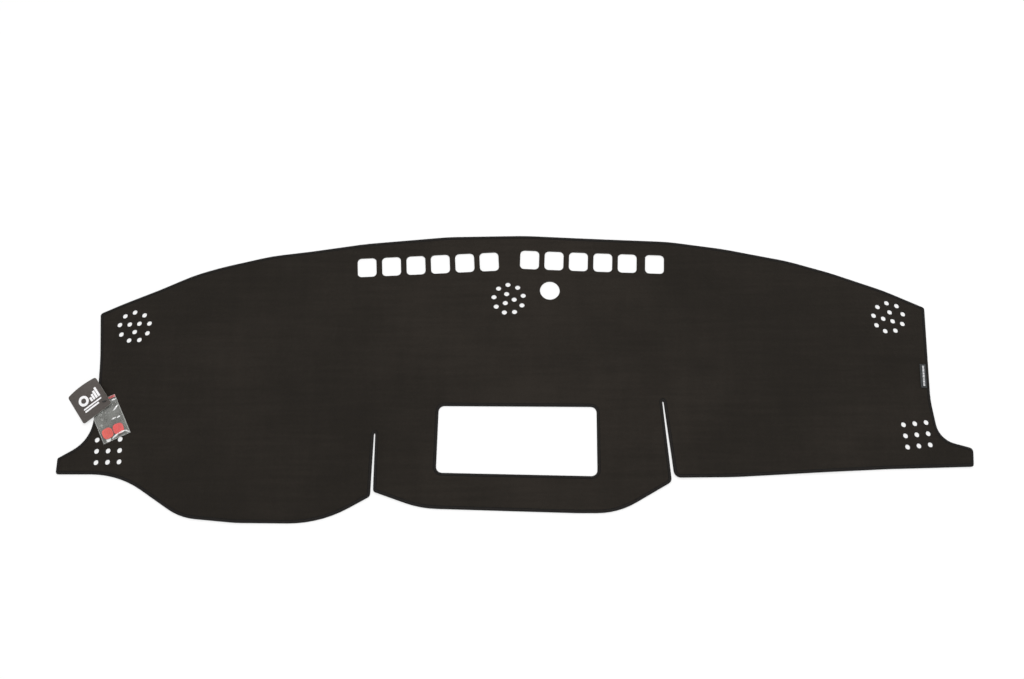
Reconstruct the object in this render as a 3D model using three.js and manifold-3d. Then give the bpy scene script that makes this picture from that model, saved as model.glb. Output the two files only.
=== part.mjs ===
// Dashboard cover mat: one contoured panel of bonded pile, felt and non-slip backing,
// overlocked round its outline and its display window, lying flat with its swing tag,
// tag pin and bag of fixing pads still on it. Millimetres, +Z up, pile side up.
import * as THREE from 'three';
import { mergeVertices } from 'three/addons/utils/BufferGeometryUtils.js';
import Module from 'manifold-3d';

const wasm = await Module();
wasm.setup();

// Driving dimensions of the panel; its front faces -Y
const matWidth = 1298.5;         // from side edge to side edge
const matThickness = 5;
const rearReach = 232.7;         // datum line to the crown of the rear edge
const rearDrop = 126.2;          // crown to the rear corners, along Y
const leftCornerDrop = 6;        // how much lower than that the left rear corner lies
const rightCornerRise = 4;       // and how much higher the right one
const leftWingFront = 157.4;     // datum line to the front of the left wing
const rightWingFront = 145.6;
const leftWingReach = 53.5;      // how far the wing stands out past its side edge
const rightWingReach = 58.5;
const leftWingTip = 24.8;        // depth of the wing at its tip
const rightWingTip = 28.4;
const leftApronFront = 233.3;    // datum line to the front of the left apron
const middleApronFront = 217.2;

// The two slits that let the aprons fold down
const leftSlitX = -217.2;
const leftSlitLength = 98.5;
const leftSlitLean = -1.1;       // degrees
const rightSlitX = 243.9;
const rightSlitLength = 127;
const rightSlitLean = 5.2;
const slitMouthGap = 4.2;
const slitTipGap = 1.8;

// The display window in the middle apron
const windowWidth = 247;
const windowHeight = 107;
const windowX = 4.8;
const windowSetback = 113;       // apron front to the middle of the window
const windowCornerRadius = 9;

// Vent cut-outs, sensor hole and speaker perforations
const ventWidth = 30.4;
const ventDepth = 32.7;
const ventCornerRadius = 6.5;
const ventsPerRow = 6;
const ventPitch = 39.2;
const lastVentGap = 4.6;         // the outermost vent on the right stands this much wider
const leftRowX = -39.5;
const leftRowSetback = 44.4;     // crown to the inner vent of the row
const leftRowSlope = 2.8;        // degrees
const rightRowX = 25.6;
const rightRowSetback = 41;
const rightRowSlope = -2.2;
const sensorDiameter = 31.6;
const sensorX = 57.7;
const sensorSetback = 93;
const perforationDiameter = 8.5;
const ringDiameter = 47.4;       // circle of nine perforations
const innerRingDiameter = 17.6;  // circle of three inside it
const gridPitch = 17.7;          // three rows of three

// Overlocked edge
const overlockWidth = 4.6;
const overlockHeight = 5.4;
const overlockChamfer = 1.2;
const overlockThread = 1.1;      // thread outside the edge that it wraps
const pressedThickness = 2.8;    // the panel where the thread squeezes it
const clearance = 0.3;

// Woven side label, folded double
const labelLength = 38;
const labelWidth = 9.4;
const labelPly = 0.5;
const labelGap = 0.4;
const labelY = -2.3;
const labelLift = 5;             // degrees

// Swing tag, its pin, and the bag of fixing pads
const tagSize = 53.4;
const tagThickness = 0.8;
const tagCornerRadius = 3;
const tagOverhang = 10.1;        // side edge to the middle of the tag
const tagY = -42.2;
const tagTurn = 35.8;
const pinInset = 14.4;           // side edge to the pin
const pinY = -44.6;
const pinDiameter = 1;
const pinBarDiameter = 1.7;
const upperBarLength = 6.5;
const lowerBarLength = 8;
const pinHoleDiameter = 2;
const tagHoleDiameter = 3;
const bagWidth = 44;
const bagLength = 68;
const bagFilm = 0.3;
const bagTurn = 26;
const pinFromBagMiddle = 4.7;    // across the bag
const pinFromZip = 6.8;          // and down from its zip edge
const bagSeam = 1.2;
const bagNeck = 1;               // height at the zip
const padWidth = 16.4;
const padLength = 17;
const padThickness = 1.6;
const padCornerRadius = 6;
const padLinerThickness = 0.5;
const padFromBottom = 13;        // bag's bottom seam to the middle of the pads

// Values worked out from them
const sideX = matWidth / 2;
const arcTolerance = 0.15;
const smallestRadius = 0.4;
const degrees = Math.PI / 180;
const tongueLow = (overlockHeight - pressedThickness) / 2;
const tongueHigh = tongueLow + pressedThickness;
const shoulderInset = overlockWidth + clearance;
const tongueInset = overlockThread + clearance;
const through = 2 * matThickness;

const palette = {
  pile: new THREE.MeshStandardMaterial({ color: 0x2b2723, roughness: 0.95, metalness: 0 }),
  thread: new THREE.MeshStandardMaterial({ color: 0x1c1a19, roughness: 0.7, metalness: 0 }),
  woven: new THREE.MeshStandardMaterial({ color: 0x2a3234, roughness: 0.6, metalness: 0 }),
  card: new THREE.MeshStandardMaterial({ color: 0x514d48, roughness: 0.6, metalness: 0 }),
  pin: new THREE.MeshStandardMaterial({ color: 0x111111, roughness: 0.4, metalness: 0 }),
  film: new THREE.MeshStandardMaterial({
    color: 0x8f9a96, roughness: 0.2, metalness: 0, transparent: true, opacity: 0.45,
  }),
  hook: new THREE.MeshStandardMaterial({ color: 0x202020, roughness: 0.8, metalness: 0 }),
  liner: new THREE.MeshStandardMaterial({ color: 0xd2403c, roughness: 0.45, metalness: 0 }),
};

// Outlines: a list of corners [x, y, radius], anticlockwise

function edgeNormal(from, to) {
  return new THREE.Vector2(from[1] - to[1], to[0] - from[0]).normalize();
}

// Moves every edge of a closed outline inwards, and its corners with them.
function movedCorners(corners, inset) {
  return corners.map(([x, y, radius], i) => {
    const before = edgeNormal(corners.at(i - 1), corners[i]);
    const after = edgeNormal(corners[i], corners[(i + 1) % corners.length]);
    const reach = inset / (1 + before.dot(after));
    const grows = before.cross(after) > 0 ? -inset : inset;
    return {
      point: new THREE.Vector2(x, y).addScaledVector(before.add(after), reach),
      radius: Math.max(radius + grows, smallestRadius),
    };
  });
}

// The points of an outline with every corner rounded. Where two roundings would
// meet, both shrink to share the edge between them.
function roundedOutline(corners, inset = 0) {
  const moved = movedCorners(corners, inset);
  const next = (i) => (i + 1) % moved.length;
  const edges = moved.map((corner, i) => moved[next(i)].point.clone().sub(corner.point));
  const turns = moved.map((corner, i) => {
    const arriving = edges.at(i - 1);
    return Math.atan2(arriving.cross(edges[i]), arriving.dot(edges[i]));
  });
  const wanted = moved.map((corner, i) => corner.radius * Math.tan(Math.abs(turns[i]) / 2));
  const share = edges.map((edge, i) => Math.min(1, edge.length() / (wanted[i] + wanted[next(i)])));
  return moved.flatMap(({ point, radius }, i) => {
    const limited = radius * Math.min(share[i], share.at(i - 1));
    const side = Math.sign(turns[i]);
    const arriving = edges.at(i - 1).clone().normalize();
    const tangent = limited * Math.tan(Math.abs(turns[i]) / 2);
    const centre = point.clone().addScaledVector(arriving, -tangent)
      .add(new THREE.Vector2(-arriving.y, arriving.x).multiplyScalar(side * limited));
    const start = arriving.angle() - side * Math.PI / 2;
    const step = 2 * Math.acos(1 - Math.min(arcTolerance / limited, 0.3));
    const steps = Math.max(1, Math.ceil(Math.abs(turns[i]) / step));
    const arc = new THREE.EllipseCurve(
      centre.x, centre.y, limited, limited, start, start + turns[i], side < 0);
    return arc.getPoints(steps);
  });
}

function circle(x, y, diameter, sides) {
  const curve = new THREE.EllipseCurve(x, y, diameter / 2, diameter / 2, 0, 2 * Math.PI);
  return curve.getPoints(sides).slice(0, -1);
}

function rectangle(width, length, radius) {
  return [
    [-width / 2, -length / 2, radius], [width / 2, -length / 2, radius],
    [width / 2, length / 2, radius], [-width / 2, length / 2, radius],
  ];
}

// Turns points about the origin and moves them to a place
function placed(points, x, y, turn) {
  const origin = new THREE.Vector2();
  return points.map((point) => point.clone().rotateAround(origin, turn * degrees)
    .add(new THREE.Vector2(x, y)));
}

// Solids

function solidFrom(geometry) {
  const bare = geometry.clone();
  bare.deleteAttribute('normal');
  bare.deleteAttribute('uv');
  const merged = mergeVertices(bare, 1e-4);
  return new wasm.Manifold(new wasm.Mesh({
    numProp: 3,
    vertProperties: new Float32Array(merged.attributes.position.array),
    triVerts: new Uint32Array(merged.index.array),
  }));
}

function geometryFrom(solid) {
  const mesh = solid.getMesh();
  const geometry = new THREE.BufferGeometry();
  geometry.setAttribute('position', new THREE.BufferAttribute(mesh.vertProperties, 3));
  geometry.setIndex(new THREE.BufferAttribute(mesh.triVerts, 1));
  geometry.computeVertexNormals();
  return geometry;
}

function plate(points, low, high, holes = []) {
  const shape = new THREE.Shape(points);
  shape.holes = holes.map((hole) => new THREE.Path(hole));
  const geometry = new THREE.ExtrudeGeometry(shape, { depth: high - low, bevelEnabled: false });
  return solidFrom(geometry.translate(0, 0, low));
}

// A plate whose outer and hole edges are chamfered at both faces
function chamferedPlate(points, height, chamfer, holes = []) {
  const shape = new THREE.Shape(points);
  shape.holes = holes.map((hole) => new THREE.Path(hole));
  const geometry = new THREE.ExtrudeGeometry(shape, {
    depth: height - 2 * chamfer, bevelThickness: chamfer, bevelSize: chamfer,
    bevelOffset: -chamfer, bevelSegments: 1,
  });
  return solidFrom(geometry.translate(0, 0, chamfer));
}

function rod(diameter, from, to) {
  const along = to.clone().sub(from);
  const geometry = new THREE.CylinderGeometry(diameter / 2, diameter / 2, along.length(), 12);
  const up = new THREE.Vector3(0, 1, 0);
  geometry.applyQuaternion(new THREE.Quaternion().setFromUnitVectors(up, along.clone().normalize()));
  const middle = from.clone().add(to).multiplyScalar(0.5);
  return solidFrom(geometry.translate(middle.x, middle.y, middle.z));
}

function part(name, solid, material) {
  const mesh = new THREE.Mesh(geometryFrom(solid), material);
  mesh.name = name;
  return mesh;
}

// The mat's outline

// Both lips and the blind end of a slit; lean tips its inner end towards -X
function slitCorners(x, leftLip, rightLip, length, lean) {
  const tipY = leftLip.y + length;
  const tipX = x - length * Math.tan(lean * degrees);
  return [
    [x - slitMouthGap / 2, leftLip.y, leftLip.radius],
    [tipX - slitTipGap / 2, tipY, slitTipGap / 2.1],
    [tipX + slitTipGap / 2, tipY, slitTipGap / 2.1],
    [x + slitMouthGap / 2, rightLip.y, rightLip.radius],
  ];
}

function frontEdge() {
  const wingLeft = -leftWingFront;
  const wingRight = -rightWingFront;
  const apronLeft = -leftApronFront;
  const apronMiddle = -middleApronFront;
  return [
    [-sideX - leftWingReach, wingLeft, 3.5],
    [-sideX + 42.8, wingLeft, 140],
    [-sideX + 141.4, apronLeft + 9.2, 90],
    [-sideX + 226.5, apronLeft + 1.1, 200],
    [leftSlitX - 77.6, apronLeft, 190],
    ...slitCorners(leftSlitX, { y: apronLeft + 41.7, radius: 7 },
      { y: apronMiddle + 32.7, radius: 5 }, leftSlitLength, leftSlitLean),
    [leftSlitX + 74.1, apronMiddle + 7.3, 160],
    [rightSlitX - 146.6, apronMiddle, 300],
    [rightSlitX - 85.2, apronMiddle, 120],
    ...slitCorners(rightSlitX, { y: apronMiddle + 48, radius: 8 },
      { y: wingRight - 17.4, radius: 11 }, rightSlitLength, rightSlitLean),
    [rightSlitX + 94.2, wingRight - 16, 400],
    [sideX - 74, wingRight - 3.6, 500],
    [sideX + rightWingReach - 1.3, wingRight, 3.5],
  ];
}

const rearCornerLeft = [-sideX - 7.1, rearReach - rearDrop - leftCornerDrop, 5];
const rearCornerRight = [sideX + 3.9, rearReach - rearDrop + rightCornerRise, 4.5];
const rightSideFoot = [sideX, -40, 150];

function rightSide() {
  return [
    [sideX + rightWingReach + 0.5, rightWingTip - rightWingFront, 7],
    [sideX + 8.2, 42.8 - rightWingFront, 36],
    rightSideFoot,
    rearCornerRight,
  ];
}

// The rear edge bows in soft steps: each is its share of the half width and of the drop
function rearEdge() {
  const steps = [
    [0.91, 0.743], [0.78, 0.502], [0.676, 0.341], [0.521, 0.182], [0.382, 0.083], [0.029, 0],
    [-0.163, 0.016], [-0.367, 0.109], [-0.503, 0.214], [-0.599, 0.276], [-0.716, 0.421],
    [-0.784, 0.525], [-0.866, 0.72], [-0.958, 0.921],
  ];
  return steps.map(([across, down]) => [across * sideX, rearReach - down * rearDrop, 300]);
}

function leftSide() {
  return [
    rearCornerLeft,
    [-sideX - 1, 25.9, 500],
    [-sideX, -40, 200],
    [-sideX - 5.7, 52.7 - leftWingFront, 58],
    [-sideX - leftWingReach + 0.4, leftWingTip - leftWingFront, 3],
  ];
}

const outline = [...frontEdge(), ...rightSide(), ...rearEdge(), ...leftSide()];

const windowY = windowSetback - middleApronFront;
const displayWindow = [[-1, 2.9], [0, -2.7], [0.5, -0.5], [2, 1.1]].map(([dx, dy], i) => {
  const [x, y] = rectangle(windowWidth, windowHeight)[i];
  return [windowX + x + dx, windowY + y + dy, windowCornerRadius];
});

// Cut-outs

function ventRow(innerX, setback, slope, outwards, lastGap) {
  const hole = roundedOutline(rectangle(ventWidth, ventDepth, ventCornerRadius));
  return Array.from({ length: ventsPerRow }, (_, i) => {
    const run = outwards * (i * ventPitch + (i === ventsPerRow - 1 ? lastGap : 0));
    const rise = run * Math.tan(slope * degrees);
    return placed(hole, innerX + run, rearReach - setback + rise, slope);
  });
}

function perforationRing(count, diameter, turn) {
  return Array.from({ length: count }, (_, i) => {
    const angle = turn * degrees + i * 2 * Math.PI / count;
    return new THREE.Vector2(Math.cos(angle), Math.sin(angle)).multiplyScalar(diameter / 2);
  });
}

function perforationGrid() {
  const steps = [-gridPitch, 0, gridPitch];
  return steps.flatMap((y) => steps.map((x) => new THREE.Vector2(x, y)));
}

// Round holes at the centres given, moved and turned together
function perforations(centres, x, y, turn = 0) {
  return placed(centres, x, y, turn)
    .map((centre) => circle(centre.x, centre.y, perforationDiameter, 16));
}

function speakerCluster(x, y, innerTurn) {
  const outer = perforationRing(9, ringDiameter, -147);
  const inner = perforationRing(3, innerRingDiameter, innerTurn);
  return perforations([...outer, ...inner], x, y);
}

const cutOuts = [
  ...ventRow(leftRowX, leftRowSetback, leftRowSlope, -1, 0),
  ...ventRow(rightRowX, rightRowSetback, rightRowSlope, 1, lastVentGap),
  circle(sensorX, rearReach - sensorSetback, sensorDiameter, 36),
  ...speakerCluster(rearCornerLeft[0] + 55.4, rearCornerLeft[1] - 21, -85),
  ...speakerCluster(-8, rearReach - 107, -8),
  ...speakerCluster(rearCornerRight[0] - 57.9, rearCornerRight[1] - 15.5, -46),
  ...perforations(perforationGrid(), 23.6 - sideX, 36.7 - leftWingFront, 2),
  ...perforations(perforationGrid(), sideX - 25.5, 50.3 - rightWingFront, 5.5),
];

// Swing tag, pin and bag: their places

const pinX = pinInset - sideX;
const pinInBag = new THREE.Vector2(pinFromBagMiddle, bagLength / 2 - pinFromZip);
const bagPlace = placed([pinInBag.clone().negate()], pinX, pinY, bagTurn)[0];
const bagFloor = overlockHeight + clearance;
const bagCorner = placed([new THREE.Vector2(-bagWidth / 2, bagLength / 2)],
  bagPlace.x, bagPlace.y, bagTurn)[0];

// The tag leans: its outer corner is on the ground, and it crosses the bag's corner
const tagX = -sideX - tagOverhang;
const tagRestZ = bagFloor + bagNeck + clearance;
const tagHalfDiagonal = tagSize / Math.SQRT2 * Math.cos((45 - tagTurn) * degrees);
const tagTilt = Math.asin((tagRestZ - clearance) / (tagHalfDiagonal - (tagX - bagCorner.x)));
const tagZ = tagRestZ + (tagX - bagCorner.x) * Math.tan(tagTilt);
const tagTopAtPin = tagZ + (pinX - tagX) * Math.tan(tagTilt) + tagThickness / Math.cos(tagTilt);
const lowerBarZ = clearance + pinBarDiameter / 2;

// Pieces

function matPanel() {
  const body = plate(roundedOutline(outline, shoulderInset), 0, matThickness, cutOuts);
  const tongue = plate(roundedOutline(outline, tongueInset), tongueLow, tongueHigh)
    .subtract(plate(roundedOutline(outline, shoulderInset + 1), -through, through));
  const windowShoulder = plate(roundedOutline(displayWindow, -shoulderInset), -through, through);
  const windowTongue = plate(roundedOutline(displayWindow, -shoulderInset - 1), tongueLow, tongueHigh)
    .subtract(plate(roundedOutline(displayWindow, -tongueInset), -through, through));
  const pinHole = plate(circle(pinX, pinY, pinHoleDiameter, 12), -through, through);
  const pocket = rectangle(pinBarDiameter + 2 * clearance, lowerBarLength + 2 * clearance, clearance);
  const barPocket = plate(placed(roundedOutline(pocket), pinX, pinY, 0), -through,
    lowerBarZ + pinBarDiameter / 2 + clearance);
  const solid = body.add(tongue).subtract(windowShoulder).add(windowTongue)
    .subtract(pinHole).subtract(barPocket);
  return part('mat_panel', solid, palette.pile);
}

// The groove that an overlock leaves for the squeezed edge of the panel
const grooveLow = tongueLow - clearance;
const grooveHigh = tongueHigh + clearance;

function edgeOverlock() {
  const solid = chamferedPlate(roundedOutline(outline), overlockHeight, overlockChamfer)
    .subtract(plate(roundedOutline(outline, overlockWidth), -through, through))
    .subtract(plate(roundedOutline(outline, overlockThread), grooveLow, grooveHigh));
  return part('edge_overlock', solid, palette.thread);
}

function windowOverlock() {
  const outside = roundedOutline(displayWindow, -overlockWidth - 2 * overlockChamfer);
  const opening = roundedOutline(displayWindow);
  const groove = plate(outside, grooveLow, grooveHigh)
    .subtract(plate(roundedOutline(displayWindow, -overlockThread), -through, through));
  const solid = chamferedPlate(outside, overlockHeight, overlockChamfer, [opening])
    .intersect(plate(roundedOutline(displayWindow, -overlockWidth), -through, through))
    .subtract(groove);
  return part('window_overlock', solid, palette.thread);
}

// A strip folded double: its open edge meets the overlock and its fold points inwards
function sideLabel() {
  const height = 2 * labelPly + labelGap;
  const fold = [[0, 0, 0], [0, labelPly, 0], [-labelWidth + height, labelPly, labelGap / 2],
    [-labelWidth + height, labelPly + labelGap, labelGap / 2], [0, labelPly + labelGap, 0],
    [0, height, 0], [-labelWidth, height, height / 2], [-labelWidth, 0, height / 2]];
  const section = new THREE.Shape(roundedOutline(fold.reverse()));
  const strip = new THREE.ExtrudeGeometry(section, { depth: labelLength, bevelEnabled: false });
  strip.rotateX(Math.PI / 2).translate(0, labelLength / 2, 0);
  const label = part('side_label', solidFrom(strip), palette.woven);
  const sideLean = Math.atan2(rearCornerRight[0] - rightSideFoot[0],
    rearCornerRight[1] - rightSideFoot[1]);
  const edgeX = rightSideFoot[0] + (labelY - rightSideFoot[1]) * Math.tan(sideLean);
  label.rotation.y = labelLift * degrees;
  const seat = new THREE.Group();
  seat.add(label);
  seat.rotation.z = -sideLean;
  seat.position.set(edgeX - overlockWidth - clearance, labelY, matThickness + clearance);
  return seat;
}

function hangTag() {
  const local = new THREE.Vector2(pinX - tagX, pinY - tagY);
  local.x /= Math.cos(tagTilt);
  local.rotateAround(new THREE.Vector2(), -tagTurn * degrees);
  const card = plate(roundedOutline(rectangle(tagSize, tagSize, tagCornerRadius)), 0, tagThickness,
    [circle(local.x, local.y, tagHoleDiameter, 16)]);
  const tag = part('hang_tag', card, palette.card);
  tag.rotation.z = tagTurn * degrees;
  const lean = new THREE.Group();
  lean.add(tag);
  lean.rotation.y = -tagTilt;
  lean.position.set(tagX, tagY, tagZ);
  return lean;
}

function tagPin() {
  const low = new THREE.Vector3(pinX, pinY, lowerBarZ);
  const high = new THREE.Vector3(pinX, pinY, tagTopAtPin + clearance + pinBarDiameter / 2);
  const lowHalf = new THREE.Vector3(0, lowerBarLength / 2, 0);
  const heading = 12 * degrees;
  const highHalf = new THREE.Vector3(Math.cos(heading) * Math.cos(tagTilt), Math.sin(heading),
    Math.cos(heading) * Math.sin(tagTilt)).multiplyScalar(upperBarLength / 2);
  const solid = rod(pinDiameter, low, high)
    .add(rod(pinBarDiameter, low.clone().sub(lowHalf), low.clone().add(lowHalf)))
    .add(rod(pinBarDiameter, high.clone().sub(highHalf), high.clone().add(highHalf)));
  return part('tag_pin', solid, palette.pin);
}

// Everything below is in the bag's own frame: X across it, Y up to its zip, Z from its floor
const padSpace = padThickness + padLinerThickness + 3 * clearance;
const bagHeight = padSpace + 2 * bagFilm;
const bagBottom = -bagLength / 2;
const padY = bagBottom + padFromBottom;

function bagProfile(film, mouth) {
  const seam = film > 0 ? bagSeam : 0;
  return [
    [bagBottom + seam, film], [mouth, film], [mouth, bagNeck - film], [22, bagNeck - film],
    [padY + padLength / 2 + 10, bagNeck + 0.3 - film],
    [padY + padLength / 2 + 2, bagHeight - film], [padY - padLength / 2 - 1, bagHeight - film],
    [bagBottom + seam, bagNeck - film],
  ].map(([y, z]) => new THREE.Vector2(y, z));
}

// A side profile (Y, Z) drawn out across X
function acrossBag(profile, width) {
  const geometry = new THREE.ExtrudeGeometry(new THREE.Shape(profile),
    { depth: width, bevelEnabled: false });
  geometry.rotateX(Math.PI / 2).rotateZ(Math.PI / 2);
  return solidFrom(geometry.translate(-width / 2, 0, 0));
}

function padBag() {
  const solid = acrossBag(bagProfile(0, bagLength / 2), bagWidth)
    .subtract(acrossBag(bagProfile(bagFilm, bagLength / 2 + 1), bagWidth - 2 * bagSeam))
    .subtract(plate(circle(pinInBag.x, pinInBag.y, pinHoleDiameter, 12), -through, through));
  return part('pad_bag', solid, palette.film);
}

function fixingPads() {
  const outlinePoints = roundedOutline(rectangle(padWidth, padLength, padCornerRadius));
  const padFloor = bagFilm + clearance;
  const linerFloor = padFloor + padThickness + clearance;
  const places = { left: [-10, 4], right: [7.6, -7] };
  return Object.entries(places).flatMap(([side, [x, turn]]) => {
    const points = placed(outlinePoints, x, padY, turn);
    return [
      part(`fixing_pad_${side}`, plate(points, padFloor, padFloor + padThickness), palette.hook),
      part(`pad_liner_${side}`, plate(points, linerFloor, linerFloor + padLinerThickness),
        palette.liner),
    ];
  });
}

function fixingKit() {
  const kit = new THREE.Group();
  kit.add(padBag(), ...fixingPads());
  kit.rotation.z = bagTurn * degrees;
  kit.position.set(bagPlace.x, bagPlace.y, bagFloor);
  return kit;
}

// Assembly: the origin goes under the middle of the whole, on the ground
const model = new THREE.Group();
model.add(matPanel(), edgeOverlock(), windowOverlock(), sideLabel(), hangTag(), tagPin(), fixingKit());
model.updateMatrixWorld(true);
const reach = new THREE.Box3().setFromObject(model, true);
const middle = reach.getCenter(new THREE.Vector3());
model.position.set(-middle.x, -middle.y, -reach.min.z);

export default model;
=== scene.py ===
# Dashboard cover mat: the finish of every surface, laid out as a Blender add-on and run as a script
import math

import bmesh
import bpy
import numpy as np
from bpy.props import FloatProperty, FloatVectorProperty, PointerProperty
from mathutils import Matrix, Vector, kdtree, noise


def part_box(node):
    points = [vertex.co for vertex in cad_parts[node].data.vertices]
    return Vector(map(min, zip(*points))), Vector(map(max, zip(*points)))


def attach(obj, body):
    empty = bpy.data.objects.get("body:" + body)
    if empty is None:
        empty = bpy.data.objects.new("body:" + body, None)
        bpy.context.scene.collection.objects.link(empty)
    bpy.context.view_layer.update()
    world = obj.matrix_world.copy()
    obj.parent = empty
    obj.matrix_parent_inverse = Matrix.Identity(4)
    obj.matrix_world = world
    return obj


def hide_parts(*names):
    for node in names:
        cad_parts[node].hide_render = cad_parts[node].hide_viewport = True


bl_info = {
    "name": "Dashboard Cover Mat",
    "version": (1, 0, 0),
    "blender": (4, 5, 0),
    "location": "View3D > Sidebar > Cover Mat",
    "description": "Builds the finished look of a contoured dashboard cover mat around its frame",
    "category": "Object",
}

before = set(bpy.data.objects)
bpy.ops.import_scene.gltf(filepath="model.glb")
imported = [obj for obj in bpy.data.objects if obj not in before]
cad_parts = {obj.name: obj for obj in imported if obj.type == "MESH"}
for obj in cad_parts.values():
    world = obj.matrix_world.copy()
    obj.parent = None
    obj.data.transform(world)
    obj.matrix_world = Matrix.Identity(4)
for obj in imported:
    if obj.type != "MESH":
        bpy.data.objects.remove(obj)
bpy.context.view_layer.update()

MM = 0.001
BODY = "root"

# Overlock node, and on which side of its loop the panel lies: 1 within it, -1 outside
SEWN_EDGES = (("edge_overlock", 1), ("window_overlock", -1))

# Heights from the ground
CHAMFER_HEIGHT = 1.2 * MM           # where the lower chamfer of the overlock nodes ends
BAND_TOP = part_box("edge_overlock")[1].z
PANEL_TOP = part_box("mat_panel")[1].z

BAND_WIDTH = 4.6 * MM
BAG_MIDDLE = sum(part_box("pad_bag"), Vector()) / 2

# Sharp creases of the bag's film, raised as ridges and painted white as glints, each from end to
# end in mm: X across the bag, Y up to its zip
CREASE_RIDGES_AND_GLINTS = (
    ((10.8, 9.5), (20.5, 15.3)), ((3.8, -3.2), (10.5, -2.5)), ((12.2, -4.5), (17.4, -3.0)),
    ((-6.2, -32.0), (5.8, -28.5)), ((5.8, -28.5), (16.3, -28.6)), ((16.3, -28.6), (21.0, -32.5)),
    ((13.9, 26.1), (21.0, 25.8)),
)
CREASE_AND_GLINT = "crease"       # attribute of the film that says how sharp its creases are, and where glints are painted white along them

# Soft limits, each as the places where a pattern is 0 and 1: the band of painted light along the
# middle of the mat, and the strips of painted shade on the overlock, as shares of the way round its
# section
PAINTED_LIGHT_BAND = ((-0.26, 0.0), (0.30, 0.04))
WALL_SHADE = ((0.10, 0.22), (0.46, 0.36))
GROOVE_SHADE = ((0.58, 0.65), (0.80, 0.74))
DARKENED = 0.9          # how much of the darker thread's colour these strips of painted shade take on


# Settings

def length(name, description, default, **more):
    return FloatProperty(name=name, description=description, default=default,
                         unit="LENGTH", subtype="DISTANCE", precision=5, **more)


def share(name, description, default):
    return FloatProperty(name=name, description=description, default=default,
                         min=0, max=1, subtype="FACTOR")


def colour(name, description, default):
    return FloatVectorProperty(name=name, description=description, default=default,
                               size=3, min=0, max=1, subtype="COLOR")


class PileSettings(bpy.types.PropertyGroup):
    """The panel of bonded pile, felt and backing"""
    dark: colour("Dark pile", "Colour where the nap lies down", (0.0112, 0.0092, 0.0071))
    light: colour("Light pile", "Colour where the nap stands up", (0.0208, 0.0169, 0.0134))
    # Painted light: how much lighter the pile is painted along the middle of the mat
    streaks_and_painted_light: share("Brushed middle", "How much more the nap stands up along the middle", 0.10)
    felt: colour("Felt", "Colour of the underside", (0.030, 0.029, 0.028))
    cell: length("Cell", "Largest face on the panel, small enough for its soft waves", 9 * MM)
    rim: length("Rolled rim", "How far the pile rolls over towards the overlock", 1.8 * MM)
    cut_rim: length("Cut rim", "Rounding of the pile at a punched edge", 0.45 * MM)
    nap: length("Nap", "Length of the pile", 0.9 * MM)


class LieSettings(bpy.types.PropertyGroup):
    """How the mat lies on the ground"""
    wave: length("Wave", "Height of the soft waves that packing leaves", 1.1 * MM)
    wave_length: length("Wave length", "From crest to crest along the mat", 310 * MM)
    curl: length("Curl", "How far the front edge lifts beside the slits", 2.0 * MM)
    curl_reach: length("Curl reach", "How far such a lift reaches", 75 * MM)


class ThreadSettings(bpy.types.PropertyGroup):
    """The overlock thread"""
    colour: colour("Thread", "Colour of the overlock thread", (0.0108, 0.0094, 0.0083))
    # Painted shade: the darker thread colour painted on the band's outer wall and on its lip at the
    # needle line; some filaments take it on too
    outer: colour("Outer thread", "Colour where the thread turns over the edge",
                  (0.0036, 0.0033, 0.0030))
    # The needle line is darker than the thread: painted shade of the groove between band and pile
    needle: colour("Needle thread", "Colour of the needle line", (0.0036, 0.0032, 0.0029))
    pitch: length("Pitch", "From one turn of the thread to the next", 2.1 * MM)
    relief: length("Relief", "How far a turn stands out of the band", 0.16 * MM)
    slant: length("Slant", "How far a turn runs along the edge as it crosses the band", 1.8 * MM)
    stitch: length("Stitch", "Length of a needle stitch", 3.4 * MM)
    needle_width: length("Needle thread width", "Width of a needle stitch", 1.3 * MM)
    needle_depth: length("Needle depth", "How far the stitches sink below the band", 1.1 * MM)


class LabelSettings(bpy.types.PropertyGroup):
    """The woven side label"""
    ground: colour("Ground", "Colour of the tape", (0.014, 0.018, 0.020))
    mark: colour("Marks", "Colour of the woven marks", (0.86, 0.86, 0.88))
    mark_width: length("Mark width", "Width of the row of marks", 3.0 * MM)


class TagSettings(bpy.types.PropertyGroup):
    """The swing tag and its pin"""
    card: colour("Card", "Colour of the printed face", (0.066, 0.056, 0.050))
    core: colour("Core", "Colour of the cut edge of the card", (0.42, 0.43, 0.39))
    ink: colour("Ink", "Colour of the printed figures", (0.88, 0.87, 0.88))
    bow: length("Bow", "How far the outer edge of the card bows up", 5.0 * MM)
    ink_height: length("Ink height", "Thickness of the raised print", 0.08 * MM)
    pin: colour("Pin", "Colour of the moulded pin", (0.004, 0.004, 0.004))


class BagSettings(bpy.types.PropertyGroup):
    """The clear bag and the fixing pads in it"""
    film: colour("Film", "Haze of the clear film", (0.66, 0.68, 0.63))
    haze: share("Haze", "How much of what lies under the film its haze hides", 0.12)
    band: colour("Header band", "Colour of the band above the zip", (0.50, 0.090, 0.090))
    crease: length("Crease", "Height of the soft folds in the film", 0.9 * MM)
    ridge: length("Ridge", "Height of the sharp creases in the film", 0.8 * MM)
    liner_left: colour("Left liner", "Colour of the left release liner", (0.72, 0.040, 0.020))
    liner_right: colour("Right liner", "Colour of the right release liner", (0.70, 0.024, 0.024))
    hook: colour("Hook tape", "Colour of the hook pads", (0.012, 0.012, 0.012))


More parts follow.
